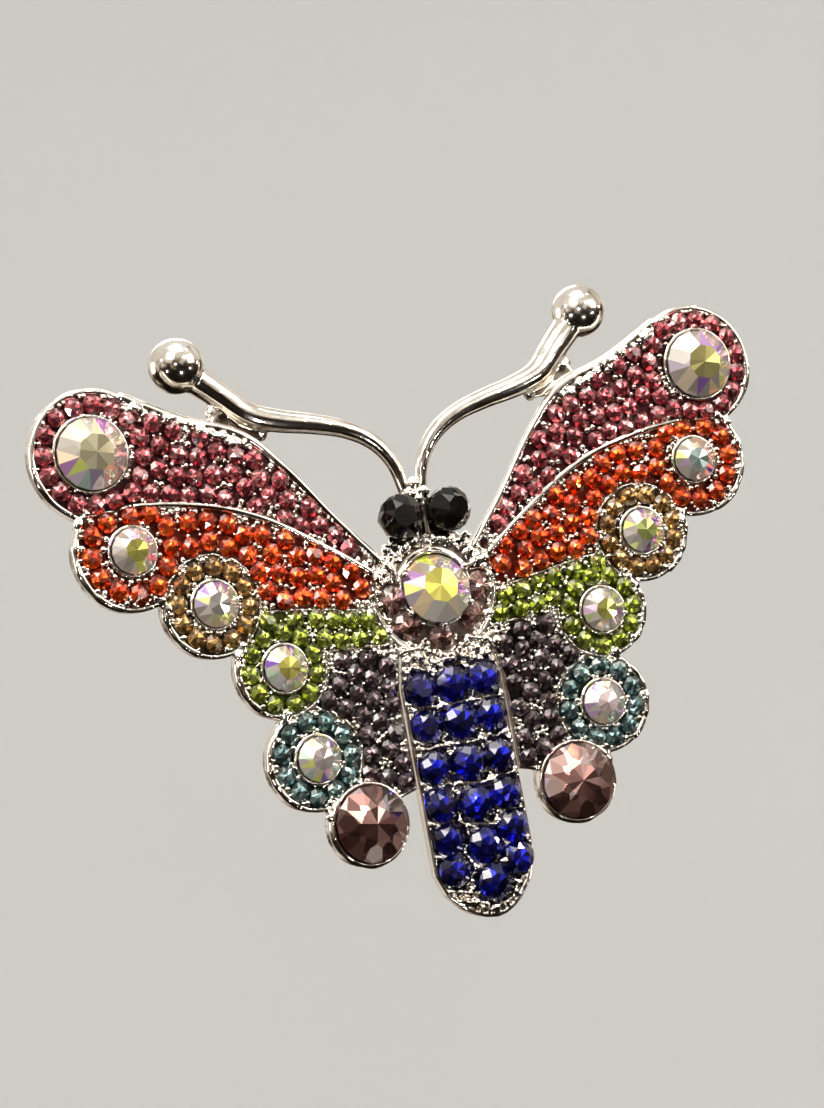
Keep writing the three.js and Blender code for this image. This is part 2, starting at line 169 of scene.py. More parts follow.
def sweep():
    radius, bend, floor_below = 0.55, 0.16, 0.26
    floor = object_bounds()[0].z - floor_below
    bpy.ops.object.select_all(action="DESELECT")
    bpy.ops.mesh.primitive_circle_add(vertices=96, radius=radius - bend, location=(0, 0, floor))
    piece = bpy.context.object
    piece.name = "sweep"
    bpy.ops.object.mode_set(mode="EDIT")
    bpy.ops.mesh.select_all(action="SELECT")
    bpy.ops.mesh.edge_face_add()
    steps = 10
    rise_before = 0.0
    reach_before = radius - bend
    for i in range(1, steps + 1):
        angle = math.pi / 2 * i / steps
        reach = radius - bend + bend * math.sin(angle)
        rise = bend * (1 - math.cos(angle))
        bpy.ops.mesh.extrude_region_move(
            TRANSFORM_OT_translate={"value": (0, 0, rise - rise_before)}
        )
        bpy.ops.transform.resize(value=(reach / reach_before, reach / reach_before, 1))
        rise_before, reach_before = rise, reach
    bpy.ops.mesh.extrude_region_move(TRANSFORM_OT_translate={"value": (0, 0, 1.2)})
    bpy.ops.mesh.delete(type="ONLY_FACE")
    bpy.ops.object.mode_set(mode="OBJECT")
    bpy.ops.object.shade_smooth()
    return piece


def plain_paper():
    material = bpy.data.materials.new("studio_paper")
    material.use_nodes = True
    shader = material.node_tree.nodes["Principled BSDF"]
    shader.inputs["Base Color"].default_value = (0.54, 0.545, 0.55, 1)
    shader.inputs["Roughness"].default_value = 0.9
    return material


paper = sweep()
paper.data.materials.append(plain_paper())
paper.visible_glossy = False
paper.visible_shadow = False
paper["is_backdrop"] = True


def lamp(name, azimuth, elevation, distance, size, power, colour=(1.0, 0.95, 0.88)):
    """A square softbox facing the brooch. Azimuth 0 is straight in front of its face."""
    a, e = math.radians(azimuth), math.radians(elevation)
    back = Vector((math.sin(a) * math.cos(e), -math.cos(a) * math.cos(e), math.sin(e)))
    bpy.ops.object.light_add(type="AREA", location=back * distance)
    piece = bpy.context.object
    piece.name = name
    piece.rotation_mode = "QUATERNION"
    piece.rotation_quaternion = back.to_track_quat("Z", "Y")
    piece.data.size = size
    piece.data.energy = power
    piece.data.color = colour
    piece.visible_camera = False


lamp("key_lamp", -38, 42, 0.42, 0.17, 1.6)
lamp("fill_lamp", 48, 18, 0.45, 0.20, 0.6)
lamp("top_lamp", 5, 72, 0.42, 0.26, 1.3)
lamp("back_lamp", 165, 35, 0.42, 0.22, 0.6)
lamp("back_side_lamp", -125, 10, 0.42, 0.18, 0.4)
SPARKLE_LAMPS = 9
for i in range(SPARKLE_LAMPS):
    lamp(
        "sparkle_lamp_%d" % (i + 1),
        azimuth=-80 + 20 * i,
        elevation=(28, -14, 52, 6, -32)[i % 5],
        distance=0.40,
        size=0.018,
        power=0.13,
    )

world = bpy.data.worlds.new("room")
bpy.context.scene.world = world
world.use_nodes = True
room = Signal(world.node_tree)
direction = room.node("ShaderNodeTexCoord", output=0)
depth = room.node("ShaderNodeSeparateXYZ", {}, {"Vector": direction}, 1)
height = room.node("ShaderNodeSeparateXYZ", {}, {"Vector": direction}, 2)
patches = room.node("ShaderNodeTexNoise", {}, {"Vector": direction, "Scale": 2.2, "Detail": 1.0})
behind = room.maths("MAXIMUM", depth, 0.0)
room_colour = (height * 0.36 + patches * 0.9 + behind * 0.19).ramp(
    (0.34, (0.012, 0.008, 0.005)),
    (0.44, (0.10, 0.062, 0.040)),
    (0.51, (0.34, 0.26, 0.20)),
    (0.62, (0.95, 0.88, 0.78)),
)
background = world.node_tree.nodes["Background"]
world.node_tree.links.new(room_colour.socket, background.inputs["Color"])
background.inputs["Strength"].default_value = 0.9
bpy.context.scene.view_settings.view_transform = "Standard"

# ---- Bench ----
# Where the pieces are drawn: x to the viewer's right, y towards the head, z towards the
# viewer, in millimetres. The wings are drawn flat and then tipped forward.
FIT = 0.05
WING_RISE = math.radians(3.4)
back_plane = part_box("pin_bar")[0].y - FIT * MM
BENCH = (
    Matrix.Translation((crystal_centre.x, back_plane, crystal_centre.z))
    @ Matrix.Rotation(math.radians(90), 4, "X")
    @ Matrix.Scale(MM, 4)
)
RIGHT_WING = BENCH @ Matrix.Rotation(-WING_RISE, 4, "Y")
LEFT_WING = BENCH @ Matrix.Scale(-1, 4, (1, 0, 0)) @ Matrix.Rotation(-WING_RISE, 4, "Y")
SIDES = {"right": RIGHT_WING, "left": LEFT_WING}


# ---- Body casting ----
# Thorax and abdomen trays with their walls, the head plate and a ridge that runs between the
# eyes. Cast in white metal, plated bright, and soldered to the wings' inner ends.
def plating():
    """A mirror where the polishing wheel reaches, slightly pitted and duller elsewhere."""
    material = bpy.data.materials.new("bright_plating")
    material.use_nodes = True
    shader = material.node_tree.nodes["Principled BSDF"]
    metal = Signal(material.node_tree)
    place = metal.node("ShaderNodeTexCoord", output="Object")
    cloud = metal.node("ShaderNodeTexNoise", {}, {"Vector": place, "Scale": 420.0, "Detail": 3.0})
    skin = metal.node("ShaderNodeTexNoise", {}, {"Vector": place, "Scale": 1500.0, "Detail": 2.0})
    pits = metal.node("ShaderNodeTexVoronoi", {}, {"Vector": place, "Scale": 1100.0})
    pitted = pits.ramp((0.0, (0, 0, 0)), (0.18, (1, 1, 1)))
    colour = cloud.ramp(
        (0.35, (0.62, 0.57, 0.50)),
        (0.55, (0.82, 0.79, 0.74)),
        (0.75, (0.90, 0.88, 0.84)),
    )
    metal.feed(shader.inputs["Base Color"], colour)
    metal.feed(shader.inputs["Roughness"], cloud * 0.16 + skin * 0.06 + 0.02)
    height = cloud * 0.7 + skin * 0.25 + pitted * 0.12
    bump = metal.node("ShaderNodeBump", {}, {"Strength": 0.35, "Distance": 0.00008, "Height": height})
    metal.feed(shader.inputs["Normal"], bump)
    shader.inputs["Metallic"].default_value = 1.0
    return material


PLATING = plating()

HEAD_RIDGE = [(0, 7.4 - 0.55 * i, 2.75 - 0.05 * i, 0.32) for i in range(8)] + [(0, 8.0, 1.8, 0.6)]
WALL_TOP = 2.1
WALL_DRAFT = 0.12
SEAT_CLAWS = 6
CLAW_RING = 2.8
SHOULDER_RINGS = (3.9, 3.45)
SIDE_LUMPS = [
    (0.75, 7.35, 1.9, 0.5),
    (3.35, 3.5, 2.0, 0.42),
    (4.4, 1.6, 2.15, 0.42),
    (4.5, -0.6, 2.1, 0.36),
    (4.2, -2.4, 2.1, 0.36),
    (4.3, -4.6, 2.0, 0.5),
]
CENTRE_ROW = [(0, -7.2), (0.1, -10.0), (0.2, -13.2), (0.2, -16.3), (0.2, -19.4), (0.45, -22.2)]
SIDE_ROW = [(2.62, y) for y in (-7.2, -9.9, -13.05, -15.9, -18.4, -20.75)]
CENTRE_R = 1.38
SIDE_R = 1.24
MAUVE_R = 1.14
MAUVE_RING = 3.62
MAUVE_ANGLES = (-5, -42, -90, -138, -175)
EYES = (0, 5.65, 3.6)
TRAY = [
    (-4.1, -3.5),
    (-4.1, -20.9),
    (-3.4, -22.5),
    (-1.8, -24.0),
    (0.3, -24.7),
    (2.1, -24.0),
    (3.4, -22.5),
    (4.1, -20.9),
    (4.1, -3.5),
]


def only(piece):
    """Selects one piece and nothing else."""
    bpy.ops.object.select_all(action="DESELECT")
    piece.select_set(True)
    bpy.context.view_layer.objects.active = piece


def join(pieces, name):
    bpy.ops.object.select_all(action="DESELECT")
    for piece in pieces:
        piece.select_set(True)
    bpy.context.view_layer.objects.active = pieces[0]
    if len(pieces) > 1:
        bpy.ops.object.join()
    pieces[0].name = name
    return pieces[0]


def new_piece(name, mesh):
    piece = bpy.data.objects.new(name, mesh)
    bpy.context.scene.collection.objects.link(piece)
    return piece


def edit(piece, *steps):
    """Runs edit-mode operators, each (operator, settings), on the whole of a piece."""
    only(piece)
    bpy.ops.object.mode_set(mode="EDIT")
    bpy.ops.mesh.select_all(action="SELECT")
    for operator, settings in steps:
        operator(**settings)
    bpy.ops.object.mode_set(mode="OBJECT")
    return piece


def modify(piece, kind, **settings):
    """Adds one modifier and applies it."""
    only(piece)
    modifier = piece.modifiers.new(kind.lower(), kind)
    for name, value in settings.items():
        setattr(modifier, name, value)
    bpy.ops.object.modifier_apply(modifier=modifier.name)
    return piece


def from_cad(node, name, place):
    """A copy of a CAD node as one closed mesh, brought back onto the bench."""
    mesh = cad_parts[node].data.copy()
    mesh.materials.clear()
    mesh.transform(place.inverted())
    piece = new_piece(name, mesh)
    merge = (bpy.ops.mesh.remove_doubles, {"threshold": 0.002})
    outwards = (bpy.ops.mesh.normals_make_consistent, {"inside": False})
    return edit(piece, merge, outwards)


def stand_up(piece, place, material, body="brooch", replaces=()):
    """Puts a finished bench piece where it belongs on the brooch."""
    piece.data.transform(place)
    if place.determinant() < 0:
        piece.data.flip_normals()
    piece.data.materials.clear()
    piece.data.materials.append(material)
    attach(piece, body)
    if replaces:
        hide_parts(*replaces)
    return piece


def ball(x, y, z, r, flat=1.0):
    """A bead of metal: lower than it is wide where flat is under 1, taller where over."""
    bpy.ops.object.select_all(action="DESELECT")
    bpy.ops.mesh.primitive_ico_sphere_add(subdivisions=2, radius=r, location=(0, 0, 0))
    piece = bpy.context.object
    piece.data.transform(Matrix.Translation((x, y, z)) @ Matrix.Scale(flat, 4, (0, 0, 1)))
    return piece


def cast_in_one(parts, name, grain, rounds=4):
    """Melts overlapping parts into one casting with soft edges and filled corners."""
    piece = join(parts, name)
    modify(piece, "REMESH", mode="VOXEL", voxel_size=grain)
    return modify(piece, "SMOOTH", factor=0.5, iterations=rounds)


def lighten(piece, keep):
    """Drops the faces that a smooth surface can do without."""
    modify(piece, "DECIMATE", ratio=keep)
    only(piece)
    bpy.ops.object.shade_smooth()
    return piece


def level_outline(mesh, highest=True):
    """The edges round a mesh's highest or lowest flat face, as pairs of points."""
    corners = np.array([vertex.co for vertex in mesh.vertices])
    heights = corners[:, 2] if highest else -corners[:, 2]
    level = heights.max() - 0.02
    seen = {}
    for face in mesh.polygons:
        if min(heights[i] for i in face.vertices) < level:
            continue
        keys = [tuple(np.round(corners[i][:2], 3)) for i in face.vertices]
        for a, b in zip(keys, keys[1:] + keys[:1]):
            edge = (min(a, b), max(a, b))
            seen[edge] = seen.get(edge, 0) + 1
    return np.array([edge for edge, count in seen.items() if count == 1])


def to_edge(points, outline):
    """Distance of each point from the outline, below zero outside, and the way inwards."""
    a, b = outline[:, 0], outline[:, 1]
    along = b - a
    length = np.maximum((along**2).sum(1), 1e-9)
    share = ((points[:, None] - a) * along).sum(2) / length
    nearest = a + np.clip(share, 0, 1)[..., None] * along
    away = points[:, None] - nearest
    distance = np.linalg.norm(away, axis=2)
    pick = distance.argmin(1)
    rows = np.arange(len(points))
    gap = distance[rows, pick]
    inwards = away[rows, pick] / np.maximum(gap, 1e-6)[:, None]
    y = points[:, None, 1]
    crosses = (a[:, 1] > y) != (b[:, 1] > y)
    rise = np.where(np.abs(along[:, 1]) < 1e-9, 1e-9, along[:, 1])
    at = a[:, 0] + (y - a[:, 1]) / rise * along[:, 0]
    inside = (crosses & (points[:, None, 0] < at)).sum(1) % 2 == 1
    return np.where(inside, gap, -gap), np.where(inside[:, None], inwards, -inwards)


def room_left(points, stones, outline, overlap):
    """How large a bead fits at each point, between the stones and the wall."""
    gap = to_edge(points, outline)[0] + overlap
    reach = np.linalg.norm(points[:, None] - stones[:, :2], axis=2) - stones[:, 2]
    return np.minimum(gap, reach.min(1))


def fill_gaps(stones, outline, smallest, largest, rng, overlap=0.1, tries=6000):
    """Beads for the gaps between stones, the widest gaps first, as rows of x, y and radius."""
    low, high = outline.min((0, 1)), outline.max((0, 1))
    points = rng.uniform(low, high, (tries, 2))
    room = room_left(points, stones, outline, overlap)
    points, room = points[room > smallest], room[room > smallest]
    beads = []
    while len(points) and room.max() > smallest:
        best = room.argmax()
        r = min(room[best], largest * rng.uniform(0.75, 1.0))
        beads.append((*points[best], r))
        room = np.minimum(room, np.linalg.norm(points - points[best], axis=1) - 0.85 * r)
    return np.array(beads).reshape(-1, 3)


def round_the_back(mesh, outline, reach, rise, top):
    """Draws the casting's back edge up in a soft curve, as a polished casting's is."""
    a, b = outline[:, 0], outline[:, 1]
    shares = np.linspace(0, 1, 12)[:, None, None]
    samples = (a + (b - a) * shares).reshape(-1, 2)
    tree = KDTree(len(samples))
    for i, (x, y) in enumerate(samples):
        tree.insert((x, y, 0), i)
    tree.balance()
    for vertex in mesh.vertices:
        if vertex.co.z > top:
            continue
        gap = tree.find((vertex.co.x, vertex.co.y, 0))[2]
        lift = rise * max(0.0, 1 - gap / reach) ** 2
        vertex.co.z = lift + vertex.co.z * (1 - lift / top)


def body_casting():
    rng = np.random.default_rng(14)
    parts = [from_cad("body_casting", "body_casting", BENCH)]
    tray = np.array([TRAY, TRAY[1:] + TRAY[:1]]).transpose(1, 0, 2)
    outer = level_outline(parts[0].data, highest=False)
    outer = outer[to_edge(outer.mean(1), tray)[0] < 0.3]

    def lump(x, y, z, r, flat=1.0):
        dx, dy = rng.normal(0, 0.07, 2)
        parts.append(ball(x + dx, y + dy, z, r * rng.uniform(0.85, 1.15), flat))

    for place in HEAD_RIDGE:
        lump(*place)
    for i in range(SEAT_CLAWS):
        angle = math.radians(90 + 360 / SEAT_CLAWS * i)
        lump(CLAW_RING * math.cos(angle), CLAW_RING * math.sin(angle), 2.6, 0.3, 1.3)
    for bearing in range(20, 161, 14):
        angle = math.radians(bearing)
        reach = SHOULDER_RINGS[bearing % 28 == 0]
        lump(reach * math.cos(angle), reach * math.sin(angle), 1.95, 0.5, 0.8)
    for side in (-1, 1):
        for x, y, z, r in SIDE_LUMPS:
            lump(side * x, y, z, r)
    stones = [(x, y, CENTRE_R) for x, y in CENTRE_ROW]
    stones += [(side * x, y, SIDE_R) for x, y in SIDE_ROW for side in (-1, 1)]
    for bearing in map(math.radians, MAUVE_ANGLES):
        stones.append((MAUVE_RING * math.cos(bearing), MAUVE_RING * math.sin(bearing), MAUVE_R))
    stones = np.array([*stones, (0, 0, MAUVE_RING), EYES])
    beads = [*fill_gaps(stones, tray, 0.14, 0.5, rng, -0.2)]
    beads += [*fill_gaps(stones, outer, 0.2, 0.42, rng, 0.0)]
    for x, y, r in beads:
        parts.append(ball(x, y, 1.5, r * 1.15, 1.0 / r))
    for x, y in CENTRE_ROW[:-1]:
        lump(x - 1.15, y - 1.45, 2.35, 0.34)
        lump(x + 1.2, y - 1.4, 2.35, 0.34)
    piece = cast_in_one(parts, "body_casting_finish", 0.09)
    round_the_back(piece.data, outer, 1.6, 1.2, 1.6)
    for vertex in piece.data.vertices:
        vertex.co.x *= 1 - WALL_DRAFT * max(0.0, 1 - vertex.co.z / WALL_TOP)
    return lighten(piece, 0.36)


stand_up(body_casting(), BENCH, PLATING, replaces=["body_casting"])

# ---- Wing castings ----
# One plated casting for each wing: a tray with a raised rim, veins between the colours, a cup
# for each large stone, and rough drops along the upper edge. Soldered to the body.
UPPER_EDGE = [(21.9, 17.4), (17.6, 15.1), (13.1, 13.35), (10.3, 10.7), (7.0, 6.4), (3.9, 2.6)]
UPPER_EDGE_RADII = [0.34, 0.42, 0.42, 0.3, 0.28, 0.34]
LONG_VEIN = [(22.4, 9.5), (18.7, 9.05), (13.7, 7.65), (8.3, 4.45), (4.9, 2.0)]
LONG_VEIN_RADII = [0.2, 0.27, 0.26, 0.26, 0.3]
LOBES = {
    "fuchsia": (24.45, 13.4, 4.8),
    "orange": (23.0, 6.3, 4.35),
    "topaz": (17.6, 1.6, 3.9),
    "peridot": (13.15, -3.8, 3.7),
    "teal": (11.85, -10.7, 3.85),
    "drop": (8.65, -16.1, 3.15),
}
RIM_ARCS = [
    ("fuchsia", -58, 125),
    ("orange", -72, 30),
    ("topaz", -62, 10),
    ("peridot", -50, 20),
    ("teal", -55, 40),
    ("drop", -150, 30),
]
ROUGH_DROPS = 26
ROUGH_START = (21.6, 17.0)
ROUGH_RUN = (-8.4, -3.8)
ROOT_DROPS = [(4.9, 1.9), (5.3, 2.7), (4.7, 0.4), (5.6, -0.9), (5.0, -3.1), (4.9, -5.0)]


def copy_of(piece, name):
    return new_piece(name, piece.data.copy())


def tube(route, radii, name="tube", sides=6):
    """A round rod along a smooth curve through the points of a route."""
    data = bpy.data.curves.new(name, "CURVE")
    data.dimensions = "3D"
    data.bevel_depth = 1.0
    data.bevel_resolution = sides // 2
    data.resolution_u = 10
    data.use_fill_caps = True
    line = data.splines.new("BEZIER")
    line.bezier_points.add(len(route) - 1)
    for point, place, r in zip(line.bezier_points, route, radii):
        point.co = place
        point.radius = r
        point.handle_left_type = point.handle_right_type = "AUTO"
    piece = bpy.data.objects.new(name, data)
    bpy.context.scene.collection.objects.link(piece)
    only(piece)
    bpy.ops.object.convert(target="MESH")
    piece = bpy.context.object
    outwards = (bpy.ops.mesh.normals_make_consistent, {"inside": False})
    merge = (bpy.ops.mesh.remove_doubles, {"threshold": 0.001})
    return edit(piece, merge, outwards)


def arc(lobe, start, stop, z, shrink, count=9):
    x, y, r = LOBES[lobe]
    angles = np.radians(np.linspace(start, stop, count))
    return [(x + (r - shrink) * math.cos(a), y + (r - shrink) * math.sin(a), z) for a in angles]


def meeting(lobe, other):
    """The outer point where the rims of two lobes cross."""
    (ax, ay, ar), (bx, by, br) = LOBES[lobe], LOBES[other]
    gap = math.hypot(bx - ax, by - ay)
    along = (ar**2 - br**2 + gap**2) / (2 * gap)
    off = math.sqrt(ar**2 - along**2)
    ux, uy = (bx - ax) / gap, (by - ay) / gap
    choices = [(ax + along * ux - k * off * uy, ay + along * uy + k * off * ux) for k in (1, -1)]
    return max(choices, key=lambda p: p[0] - p[1])


def wing_casting():
    rng = np.random.default_rng(3)
    parts = [from_cad("wing_casting_right", "wing_casting", RIGHT_WING)]
    outer = level_outline(parts[0].data, highest=False)
    edge = [(x, y, 1.75) for x, y in UPPER_EDGE]
    parts.append(tube(edge, UPPER_EDGE_RADII))
    vein = [(x, y, 1.95) for x, y in LONG_VEIN]
    parts.append(tube(vein, LONG_VEIN_RADII))
    for lobe, start, stop in RIM_ARCS:
        rim = arc(lobe, start, stop, 1.72, 0.2, 12)
        parts.append(tube(rim, rng.uniform(0.21, 0.34, len(rim))))
    lobes = list(LOBES)
    for lobe, other in zip(lobes, lobes[1:]):
        x, y = meeting(lobe, other)
        for _ in range(3):
            dx, dy = rng.normal(0, 0.28, 2)
            parts.append(ball(x - 0.3 + dx, y + 0.1 + dy, 1.7, rng.uniform(0.34, 0.5)))
    for i in range(ROUGH_DROPS):
        share = i / (ROUGH_DROPS - 1)
        x = ROUGH_START[0] + ROUGH_RUN[0] * share + rng.normal(0, 0.15)
        y = ROUGH_START[1] + ROUGH_RUN[1] * share + rng.normal(0, 0.16)
        parts.append(ball(x, y - 0.35, 1.85 + rng.normal(0, 0.1), rng.uniform(0.22, 0.46)))
    for x, y in ROOT_DROPS:
        parts.append(ball(x, y, 1.85, rng.uniform(0.28, 0.42)))
    piece = cast_in_one(parts, "wing_casting_finish", 0.1)
    round_the_back(piece.data, outer, 1.3, 0.75, 0.9)
    return lighten(piece, 0.3)


wing_bench = wing_casting()
for side, place in SIDES.items():
    wing = copy_of(wing_bench, "wing_finish_" + side)
    stand_up(wing, place, PLATING, replaces=["wing_casting_" + side])
bpy.data.objects.remove(wing_bench)

# ---- Antennas ----
# Plated round rods bent by hand, each thickening towards its ball end. They are soldered to the
# head, and a web of solder joins each to its wing's upper edge.
FEELER = [
    (0.66, 7.5, 1.4),
    (1.2, 9.7, 1.5),
    (2.5, 11.5, 1.6),
    (4.4, 12.7, 1.65),
    (7.0, 13.5, 1.7),
    (9.7, 14.1, 1.7),
    (11.9, 14.9, 1.6),
    (13.5, 16.4, 1.4),
    (15.0, 17.8, 1.25),
    (16.45, 19.15, 1.2),
]
FEELER_RADII = [0.46, 0.5, 0.56, 0.64, 0.72, 0.8, 0.88, 0.98, 1.1, 1.2]
BALL_R = 2.05
FEELER_WEB = [
    (11.5, 13.9, 0.75),
    (12.4, 13.6, 0.6),
    (12.6, 14.6, 0.85),
    (13.4, 14.2, 0.7),
    (13.9, 15.2, 0.8),
    (14.5, 14.6, 0.55),
    (14.1, 13.9, 0.55),
    (14.4, 15.4, 0.6),
    (11.0, 13.3, 0.5),
]


def feeler():
    parts = [tube(FEELER, FEELER_RADII, sides=16)]
    bpy.ops.object.select_all(action="DESELECT")
    bpy.ops.mesh.primitive_uv_sphere_add(segments=48, ring_count=24, radius=BALL_R)
    end = bpy.context.object
    end.data.transform(Matrix.Translation(FEELER[-1]))
    parts.append(end)
    parts.append(from_cad("antenna_right", "web", BENCH))
    parts += [ball(x, y, 1.35, r, 0.7) for x, y, r in FEELER_WEB]
    return lighten(cast_in_one(parts, "feeler", 0.09, rounds=14), 0.6)


feeler_bench = feeler()
for side, mirror in {"right": 1, "left": -1}.items():
    antenna = copy_of(feeler_bench, "feeler_" + side)
    place = BENCH @ Matrix.Scale(mirror, 4, (1, 0, 0))
    stand_up(antenna, place, PLATING, replaces=["antenna_" + side])
bpy.data.objects.remove(feeler_bench)


# ---- Iridescent crystals ----
# Machine-cut clear glass with a foiled back and a rainbow coating, glued into cups: one at each
# wing tip, four down each wing, and the largest on the thorax.
def cut_gem(name, r, table, crown, back, sides=8, stars=True, foot=0.6):
    """A stone, girdle at the origin and table up: crown facets, girdle, and a back in its cup."""
    girdle = 0.04 * r
    corner = math.cos(math.pi / sides)
    middle = (0.35 * table + 0.65 * r) / corner * 0.97
    middle_height = crown + (middle * corner - table) * (girdle - crown) / (r - table)
    rings = [
        (sides, table, crown, 0),
        (sides, middle, middle_height, math.pi / sides),
        (2 * sides, r, -girdle, 0),
        (sides, (foot + 0.12) * r, -back * 0.7, 0),
        (sides, foot * r, -back, 0),
    ]
    if not stars:
        rings.pop(1)
    bpy.ops.object.select_all(action="DESELECT")
    bpy.ops.mesh.primitive_circle_add(vertices=2 * sides, radius=r)
    gem = bpy.context.object
    gem.name = name
    gem.data.transform(Matrix.Translation((0, 0, girdle)))
    bpy.ops.object.mode_set(mode="EDIT")
    for count, radius, z, spin in rings:
        bpy.ops.mesh.primitive_circle_add(
            vertices=count, radius=radius, location=(0, 0, z), rotation=(0, 0, spin)
        )
    bpy.ops.mesh.select_all(action="SELECT")
    bpy.ops.mesh.convex_hull(join_triangles=False)
    bpy.ops.mesh.select_all(action="SELECT")
    bpy.ops.mesh.dissolve_limited(angle_limit=math.radians(0.6))
    bpy.ops.mesh.select_all(action="SELECT")
    bpy.ops.mesh.normals_make_consistent(inside=False)
    bpy.ops.object.mode_set(mode="OBJECT")
    mesh = gem.data
    while mesh.uv_layers:
        mesh.uv_layers.remove(mesh.uv_layers[0])
    cut = mesh.uv_layers.new(name="cut")
    for loop in mesh.loops:
        place = mesh.vertices[loop.vertex_index].co
        cut.data[loop.index].uv = (place.x / r, place.y / r)
    is_table = mesh.attributes.new("table", "FLOAT", "FACE")
    for face in mesh.polygons:
        is_table.data[face.index].value = float(face.normal.z > 0.99)
    mesh.attributes.new("facet", "FLOAT", "FACE")
    mesh.attributes.new("stone", "FLOAT", "FACE")
    return gem


def set_stone(gem, place, rng, number=None):
    """One copy of a stone at its place, with its own play of light."""
    mesh = gem.data.copy()
    mesh.transform(place)
    count = len(mesh.polygons)
    mesh.attributes["facet"].data.foreach_set("value", rng.random(count).astype(np.float32))
    same = np.full(count, rng.random() if number is None else number, np.float32)
    mesh.attributes["stone"].data.foreach_set("value", same)
    return new_piece("stone", mesh)


def seat(x, y, z, spin=0.0, tilt=0.0, toward=0.0):
    """Where a stone sits: turned about its axis, and tipped by tilt towards a direction."""
    axis = Vector((-math.sin(toward), math.cos(toward), 0))
    return (
        Matrix.Translation((x, y, z))
        @ Matrix.Rotation(tilt, 4, axis)
        @ Matrix.Rotation(spin, 4, "Z")
    )


def foiled_glass(
    name, stops, crown=None, tints=None, sectors=8, slope=0.32, metallic=0.85, rough=0.12, coat=1.0
):
    """Coloured glass over foil, with painted light: each facet's colour is a painted reflection of
    the foil. The stops go from the glass's darkest facet to its brightest, which is a painted glint.
    """
    outer_numbers_from, stone_numbers_apart = 20.0, 61.0
    material = bpy.data.materials.new(name)
    material.use_nodes = True
    shader = material.node_tree.nodes["Principled BSDF"]
    glass = Signal(material.node_tree)
    cut = glass.node("ShaderNodeUVMap", {"uv_map": "cut"})
    across = glass.node("ShaderNodeSeparateXYZ", {}, {"Vector": cut}, 0)
    up = glass.node("ShaderNodeSeparateXYZ", {}, {"Vector": cut}, 1)
    stone = glass.node("ShaderNodeAttribute", {"attribute_name": "stone"}, output="Fac")
    facet = glass.node("ShaderNodeAttribute", {"attribute_name": "facet"}, output="Fac")
    table = glass.node("ShaderNodeAttribute", {"attribute_name": "table"}, output="Fac")
    reach = glass.maths("SQRT", across * across + up * up)
    angle = glass.maths("ARCTAN2", up, across) / (2 * math.pi) * sectors

    def back_facets(shift):
        """The facets of the stone's back: each one's number and its slope's height."""
        turned = angle + shift
        number = glass.maths("FLOOR", turned)
        bearing = (turned - number - 0.5) * (2 * math.pi / sectors)
        return number, reach * glass.maths("COSINE", bearing)

    inner_number, inner_height = back_facets(0.0)
    outer_number, outer_height = back_facets(0.5)
    is_outer = (outer_height * 0.72 + 0.16) > inner_height
    height = glass.maths("MAXIMUM", outer_height * 0.72 + 0.16, inner_height)
    number = inner_number + is_outer * (outer_number - inner_number + outer_numbers_from)
    apart = stone * stone_numbers_apart
    seed = glass.node("ShaderNodeCombineXYZ", {}, {0: number, 1: apart, 2: 0.5})
    # Each facet gets a random brightness: painted reflections of the foil, up to painted glints at
    # the top of the ramp.
    play = glass.node("ShaderNodeTexWhiteNoise", {"noise_dimensions": "3D"}, {"Vector": seed})
    painted_facet_light = play * 0.62 + facet * 0.38
    colour = painted_facet_light.ramp(*stops)
    if tints:
        colour = colour.times(stone.ramp(*tints))
    if crown:
        colour = facet.ramp(*crown).blend(table, colour)
    glass.feed(shader.inputs["Base Color"], colour)
    bump = glass.node(
        "ShaderNodeBump",
        {"invert": True},
        {"Strength": 1.0, "Distance": slope * MM, "Height": height},
    )
    glass.feed(shader.inputs["Normal"], bump)
    shader.inputs["Metallic"].default_value = metallic
    shader.inputs["Roughness"].default_value = rough
    shader.inputs["Coat Weight"].default_value = coat
    shader.inputs["Coat Roughness"].default_value = 0.03
    shader.inputs["Coat IOR"].default_value = 1.56
    return material


# The back facets seen through the table: painted reflections of the foil, up to white painted glints.
PALE_BACK_REFLECTIONS = (
    (0.0, (0.22, 0.20, 0.17)),
    (0.4, (0.42, 0.40, 0.35)),
    (0.7, (0.66, 0.64, 0.58)),
    (0.9, (0.92, 0.92, 0.88)),
    (1.0, (1.0, 1.0, 1.0)),
)
COATING = (
    (0.0, (0.52, 0.49, 0.42)),
    (0.25, (0.98, 0.92, 0.18)),
    (0.5, (0.75, 0.98, 0.45)),
    (0.75, (0.62, 0.85, 1.0)),
    (1.0, (0.95, 0.72, 0.76)),
)
# Crown facet colours of the rainbow coating; the grey and pale stops are painted reflection and
# sheen.
RAINBOW = (
    (0.0, (0.46, 0.42, 0.37)),
    (0.26, (0.66, 0.60, 0.54)),
    (0.31, (0.20, 0.08, 0.50)),
    (0.38, (0.60, 0.32, 0.68)),
    (0.44, (0.84, 0.78, 0.80)),
    (0.64, (0.70, 0.68, 0.58)),
    (0.71, (0.90, 0.98, 0.22)),
    (0.77, (0.50, 0.74, 0.68)),
    (0.84, (0.94, 0.72, 0.44)),
    (1.0, (0.92, 0.86, 0.80)),
)
RAINBOW_CRYSTAL = foiled_glass(
    "rainbow_crystal", PALE_BACK_REFLECTIONS, RAINBOW, COATING, slope=0.45, metallic=0.7, rough=0.08
)
crystal_rng = np.random.default_rng(11)


def bench_box(node, place):
    """A CAD node's lowest and highest corner in a bench place's own millimetres."""
    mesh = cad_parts[node].data
    back = place.inverted()
    corners = np.array([back @ vertex.co for vertex in mesh.vertices])
    return corners.min(0), corners.max(0)


